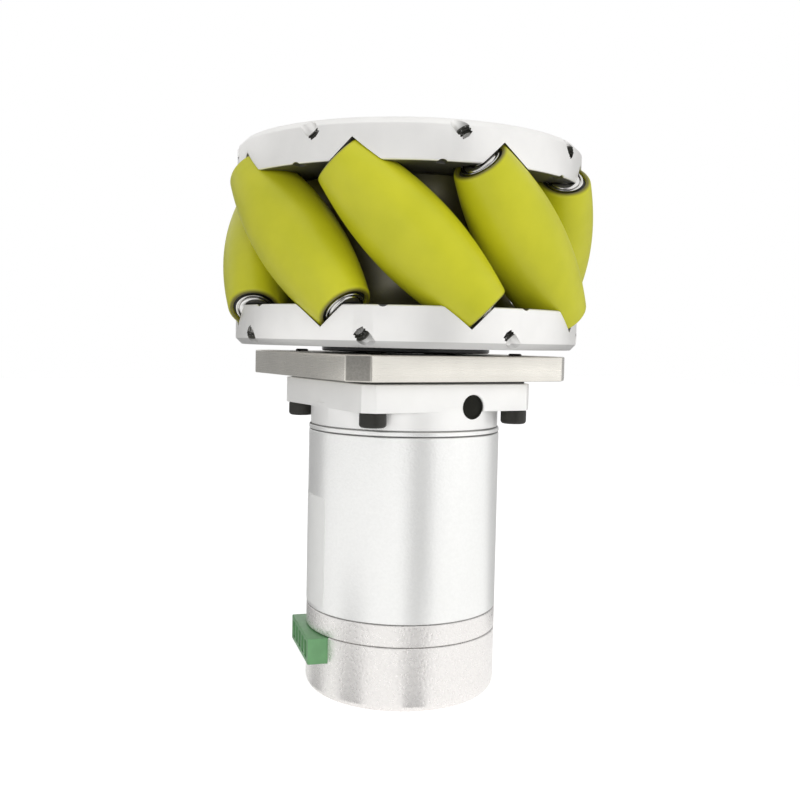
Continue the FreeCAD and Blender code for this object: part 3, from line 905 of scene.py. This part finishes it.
# Socket-head screws, modelled head down with the underside of the head at zero
flangeScrew = {"radius": 1.5, "length": 12.05, "head": 2.75, "headHeight": 3.0, "headRound": 0.7, "flats": 2.5,
               "socket": 1.5, "pitch": 0.5, "threadDepth": 0.28, "plainLength": 1.5, "knurls": 32,
               "knurlDepth": 0.022, "spacing": 34.5, "seat": 62.3}
hubScrew = dict(flangeScrew, length=10.85, circle=15.0, seat=15.95)
clampScrew = dict(flangeScrew, radius=2.0, length=10.0, head=3.5, headHeight=4.0, headRound=0.35, flats=3.0,
                  socket=2.0, pitch=0.7, threadDepth=0.4, knurls=36, washerRadius=5.4, washerThickness=0.8,
                  washerEdge=0.15, seat=16.1)


def makeSocketScrew(name, size):
    head, low, rounding = size["head"], -size["headHeight"], size["headRound"]
    corner = arcPoints((head - rounding, low + rounding), rounding, 270, 360, 5)
    thread = threadProfile(size["radius"] - 0.02, size["threadDepth"], size["pitch"], size["plainLength"],
                           size["length"] - 0.3)
    profile = [(0, low)] + corner + [(head, -0.35), (head - 0.12, 0), (size["radius"] - 0.02, 0)] + thread
    profile += [(size["radius"] - 0.3, size["length"]), (0, size["length"])]
    piece = turned(name, profile, size["knurls"] * 2)
    pick(piece)
    editing()
    shape = bmesh.from_edit_mesh(piece.data)
    for vertex in shape.verts:
        spot = vertex.co
        onSide = abs(math.hypot(spot.x, spot.y) - head * mm) < 0.01 * mm
        step = round(math.atan2(spot.y, spot.x) / math.pi * size["knurls"])
        vertex.select_set(onSide and step % 2 == 1)
    shape.select_flush_mode()
    bmesh.update_edit_mesh(piece.data)
    inward = 1 - size["knurlDepth"]
    bpy.ops.transform.resize(value=(inward, inward, 1), center_override=(0, 0, 0))
    editing(False)
    cut(piece, hexTool(size["flats"], low - 1, low + size["socket"]))
    return smoothed(piece, 24)


def screwsAt(name, screw, places):
    copies = [copied(screw, name, place) for place in places]
    deleted(screw)
    return joined(name, copies)


def atCorners(spacing, height=0.0):
    return [moved(x * spacing, y * spacing, height) for x in (-0.5, 0.5) for y in (-0.5, 0.5)]


screws = screwsAt("flangeScrews", makeSocketScrew("screw", flangeScrew),
                  atCorners(flangeScrew["spacing"], flangeScrew["seat"]))
dressed(screws, "black_screw", "motor", "flange_screws")
hubPlaces = [wheelPlace @ lifted(hubScrew["seat"]) @ turn @ moved(hubScrew["circle"]) @ turnedOver
             for turn in turnsOf(sidePlate["outerScrews"][0])]
screws = screwsAt("hubScrews", makeSocketScrew("screw", hubScrew), hubPlaces)
dressed(screws, "black_screw", "wheel", "outer_hub_screws")


def makeClamp(size):
    thick, radius, bore = size["washerThickness"], size["washerRadius"], size["radius"] + 0.02
    soft = size["washerEdge"]
    outline = [(bore, 0), (radius, 0), (radius, thick - soft), (radius - soft, thick), (bore, thick), (bore, 0)]
    washer = turned("washer", outline, 96)
    screw = settled(makeSocketScrew("screw", size), lifted(thick) @ turnedOver)
    clamp = joined("clamp", [smoothed(washer, 30), screw])
    return settled(clamp, wheelPlace @ lifted(size["seat"]))


dressed(makeClamp(clampScrew), "black_screw", "wheel", "clamp_screw")
print("stage: screws")


# Square plates under the wheel
plug = {"radius": 2.56, "sink": 0.35, "rim": 0.32, "dish": 0.22, "depth": 4.9, "steps": 72}
frontFlange = {"side": 40.9, "corner": 2.17, "bottom": 62.3, "top": 68.25, "edge": 0.16, "joint": 0.3, "steps": 256,
               "neck": 20.65, "neckBottom": 58.35, "neckEdge": 0.18,
               "pilot": 11.5, "pilotTop": 70.25, "pilotEdge": 0.3, "pilotSteps": 160,
               "passage": 4.6, "bearing": 11.0, "bearingTop": 66.5, "mouth": 0.2, "boreSteps": 128,
               "screwSpacing": 34.5, "screwHole": 1.6, "screwHead": 2.85, "screwSteps": 56,
               "plugRadius": 2.57, "plugDepth": 5.0, "plugSide": 4.67, "plugHeight": 63.22, "plugEdge": 0.15}


def squareBlock(name, side, corner, bottom, top, edge):
    startPiece()
    bpy.ops.mesh.primitive_plane_add(size=side * mm, location=(0, 0, bottom * mm))
    piece = bpy.context.object
    piece.name = name
    editing()
    bpy.ops.mesh.select_all(action="SELECT")
    bpy.ops.mesh.bevel(offset=corner * mm, affect="VERTICES", clamp_overlap=False)
    bpy.ops.mesh.extrude_region_move(TRANSFORM_OT_translate={"value": (0, 0, (top - bottom) * mm)})
    faceOut()
    bpy.ops.mesh.bevel(offset=edge * mm, segments=3, affect="EDGES", clamp_overlap=False)
    editing(False)
    return settled(piece, piece.matrix_world.copy())


def holeTool(radius, chamfer, bottom, top, steps=56):  # straight hole with a chamfer at both faces
    outline = [(0, bottom - 1), (radius + chamfer + 1, bottom - 1), (radius, bottom + chamfer),
               (radius, top - chamfer), (radius + chamfer + 1, top + 1), (0, top + 1)]
    return turned("hole", outline, steps)


def jointBlock(bottom, top):  # the step between the two plates
    side, corner, edge = (mountingPlate[key] for key in ("jointSide", "jointCorner", "jointEdge"))
    return squareBlock("joint", side, corner, bottom, top, edge)


def makeMountingPlate(size):
    bottom, top = size["bottom"], size["top"]
    piece = squareBlock("mountingPlateBody", size["side"], size["corner"], bottom + size["joint"], top, size["edge"])
    fused(piece, jointBlock(bottom, bottom + 1))
    tools = [holeTool(size["bore"], size["boreEdge"], bottom, top, steps=size["boreSteps"])]
    for spacing, radius, chamfer in size["holes"]:
        tools += [settled(holeTool(radius, chamfer, bottom, top), place) for place in atCorners(spacing)]
    return smoothed(cut(piece, *tools), 30)


def makeFrontFlange(size):
    bottom, top, low, neck, edge = (size[key] for key in ("bottom", "top", "neckBottom", "neck", "neckEdge"))
    piece = squareBlock("frontFlangeBody", size["side"], size["corner"], bottom, top - size["joint"], size["edge"])
    outline = [(0, low), (neck - edge, low), (neck, low + edge), (neck, bottom + 1), (0, bottom + 1)]
    collar = turned("collar", outline, size["steps"])
    pilot, end, soft = size["pilot"], size["pilotTop"], size["pilotEdge"]
    outline = [(0, top - 1), (pilot, top - 1), (pilot, end - soft), (pilot - soft, end), (0, end)]
    fused(piece, collar, turned("pilot", outline, size["pilotSteps"]), jointBlock(top - 1, top))
    bearing, ledge, passage, mouth = (size[key] for key in ("bearing", "bearingTop", "passage", "mouth"))
    outline = [(0, low - 1), (bearing + mouth + 1, low - 1), (bearing, low + mouth), (bearing, ledge),
               (passage, ledge), (passage, end + 1), (0, end + 1)]
    cut(piece, turned("bore", outline, size["boreSteps"]))
    head, hole = size["screwHead"], size["screwHole"]
    outline = [(0, low - 1), (head, low - 1), (head, bottom), (hole, bottom), (hole, top + 1), (0, top + 1)]
    cutRound(piece, turned("screwHole", outline, size["screwSteps"]), atCorners(size["screwSpacing"]))
    radius, deep, soft = size["plugRadius"], -size["plugDepth"], size["plugEdge"]
    outline = [(0, deep), (radius, deep), (radius, -soft), (radius + soft + 3, 3), (0, 3)]
    cut(piece, settled(turned("plugBore", outline, plug["steps"]), plugPlace(size)))
    return smoothed(tidied(piece, 0.002), 30)


def plugPlace(size):  # +Z of the plug points out of the flange's -Y side
    return moved(size["plugSide"], -size["side"] / 2, size["plugHeight"]) @ spun(90, "X")


def makePlug(size):
    face, radius, rim = -size["sink"], size["radius"], size["rim"]
    outline = [(0, -size["depth"]), (radius, -size["depth"]), (radius, face - 0.12), (radius - 0.1, face)]
    outline += [(radius - rim, face), (radius - rim - 0.08, face - size["dish"]),
                (radius - rim - 0.35, face - size["dish"] - 0.04), (radius * 0.4, face - 0.05), (0, face)]
    return settled(smoothed(turned("sidePlug", outline, size["steps"]), 30), plugPlace(frontFlange))


dressed(makeMountingPlate(mountingPlate), "mounting_plate", "motor", "mounting_plate")
dressed(makeFrontFlange(frontFlange), "front_flange", "motor", "front_flange")
dressed(makePlug(plug), "plug", "motor", "flange_plug")
print("stage: square plates")


# Motor case
motorCase = {
    "radius": 21.0,
    "seamEdge": 0.2,
    "seatDepth": 4.4,
    "steps": 256,
    # name, replaced node, slot, inner radius, bottom, top, radius of a bearing's seat in the top face
    "rings": [("spacerBand", "spacer_ring", "motor_case", 19.5, 57.2, 58.35, None),
              ("canShell", "motor_can", "motor_case", 19.5, 18.6, 57.2, None),
              ("rearBand", "rear_ring", "end_cap", 4.2, 13.9, 18.6, 5.5)],
}


def seamLip(level, side):  # the soft corner beside a seam, from the face out to the wall, upwards where side is 1
    radius, edge = motorCase["radius"], motorCase["seamEdge"]
    return [(radius - edge - 0.12, level), (radius - edge, level + side * 0.04), (radius - 0.05, level + side * edge),
            (radius, level + side * (edge + 0.06))]


def makeBand(name, inner, bottom, top, seat):
    outline = [(inner, bottom)] + seamLip(bottom, 1) + seamLip(top, -1)[::-1]
    if seat:
        outline += [(seat, top), (seat, top - motorCase["seatDepth"]), (inner, top - motorCase["seatDepth"])]
    else:
        outline += [(inner, top)]
    return smoothed(turned(name, outline + outline[:1], motorCase["steps"]), 25)


for name, node, slot, *shape in motorCase["rings"]:
    dressed(makeBand(name, *shape), slot, "motor", node)

endCap = {"radius": 21.0, "height": 13.9, "wall": 2.0, "floor": 2.6, "round": 2.4, "roundSteps": 14, "ledge": 2.0,
          "ledgeTop": 6.65, "windowBottom": 8.25, "windowWidth": 19.7, "windowStart": 13.8, "windowTurn": 165.9}


def boxTool(start, length, width, bottom, top, edge=0.0, segments=2):
    startPiece()
    bpy.ops.mesh.primitive_cube_add(size=1, location=((start + length / 2) * mm, 0, (bottom + top) / 2 * mm),
                                    scale=(length * mm, width * mm, (top - bottom) * mm))
    tool = bpy.context.object
    settled(tool, tool.matrix_world.copy())
    if edge:
        addModifier(tool, "BEVEL", width=edge * mm, segments=segments)
    return tool


def makeEndCap(size):
    radius, top, inside = size["radius"], size["height"], size["radius"] - size["wall"]
    rounding = arcPoints((radius - size["round"], size["round"]), size["round"], 270, 360, size["roundSteps"])
    outline = [(0, 0)] + rounding + seamLip(top, -1)[::-1]
    outline += [(inside, top), (inside, size["ledgeTop"]), (inside - size["ledge"], size["ledgeTop"]),
                (inside - size["ledge"], size["floor"]), (0, size["floor"])]
    piece = turned("endCapShell", outline, motorCase["steps"])
    window = boxTool(size["windowStart"], radius, size["windowWidth"], size["windowBottom"], top + 1)
    cut(piece, settled(window, lifted(0, size["windowTurn"])))
    return smoothed(piece, 25)


dressed(makeEndCap(endCap), "end_cap", "motor", "end_cap")
print("stage: motor case")


# Terminal header and its contacts
header = {"start": 13.8, "reach": 22.8, "width": 19.4, "bottom": 8.25, "top": 13.75, "edge": 0.18, "turn": 165.9,
          "count": 5, "pitch": 3.5, "slotWidth": 2.5, "slotHeight": 3.6, "slotDepth": 6.0, "slotEdge": 0.12,
          "pin": 0.9, "pinLength": 5.0, "pinEdge": 0.15}


def headerRow(size, length, width, height, edge):  # a box in every way of the header
    middle = (size["bottom"] + size["top"]) / 2
    boxes = []
    for index in range(size["count"]):
        box = boxTool(size["reach"] - size["slotDepth"], length, width, middle - height / 2, middle + height / 2, edge)
        along = (index - (size["count"] - 1) / 2) * size["pitch"]
        boxes.append(settled(box, moved(0, along)))
    return boxes


def makeHeader(size):
    body = boxTool(size["start"], size["reach"] - size["start"], size["width"], size["bottom"], size["top"],
                   size["edge"], 3)
    cut(body, *headerRow(size, size["slotDepth"] + 1, size["slotWidth"], size["slotHeight"], size["slotEdge"]))
    body.name = "terminalBlock"
    return settled(smoothed(body, 30), lifted(0, size["turn"]))


def makePins(size):
    pins = headerRow(size, size["pinLength"], size["pin"], size["pin"], size["pinEdge"])
    return settled(smoothed(joined("terminalPins", pins), 30), lifted(0, size["turn"]))


dressed(makeHeader(header), "header", "motor", "terminal_header")
dressed(makePins(header), "contact", "motor", "terminal_contacts")
print("stage: terminal header")


# Bare label on the can, on the header's side
label = {"turn": 165.0, "width": 48.0, "bottom": 19.6, "top": 43.3, "thickness": 0.06, "corner": 1.0, "columns": 96}


def makeLabel(size):
    radius, corner = motorCase["radius"], size["corner"]
    lift = radius + size["thickness"]
    bottom, top = size["bottom"], size["top"]
    outline = [(radius - 0.02, bottom), (lift, bottom), (lift, top), (radius - 0.02, top), (radius - 0.02, bottom)]
    piece = turned("bareLabel", outline, size["columns"], size["width"])
    pick(piece)
    editing()
    bpy.ops.mesh.select_all(action="DESELECT")
    bpy.ops.mesh.select_non_manifold()
    bpy.ops.mesh.edge_face_add()
    shape = bmesh.from_edit_mesh(piece.data)
    reach = math.radians(size["width"]) * radius
    columns = {}
    for vertex in shape.verts:
        columns.setdefault(round(math.atan2(vertex.co.y, vertex.co.x) * radius, 3), []).append(vertex)
    for along, column in columns.items():
        left = min(abs(along), abs(reach - along))
        if left < corner:
            drop = corner - math.sqrt(corner ** 2 - (corner - left) ** 2)
            for height, sign in ((bottom, 1), (top, -1)):
                for vertex in shape.verts:
                    vertex.select_set(False)
                for vertex in column:
                    vertex.select_set(abs(vertex.co.z - height * mm) < 0.01 * mm)
                shape.select_flush_mode()
                bmesh.update_edit_mesh(piece.data)
                bpy.ops.transform.translate(value=(0, 0, sign * drop * mm))
    faceOut()
    editing(False)
    return settled(smoothed(piece, 30), lifted(0, size["turn"] - size["width"] / 2))


dressed(makeLabel(label), "motor_case", "motor", finish=finishes["label"])
print("stage: label")

print("stage: done")
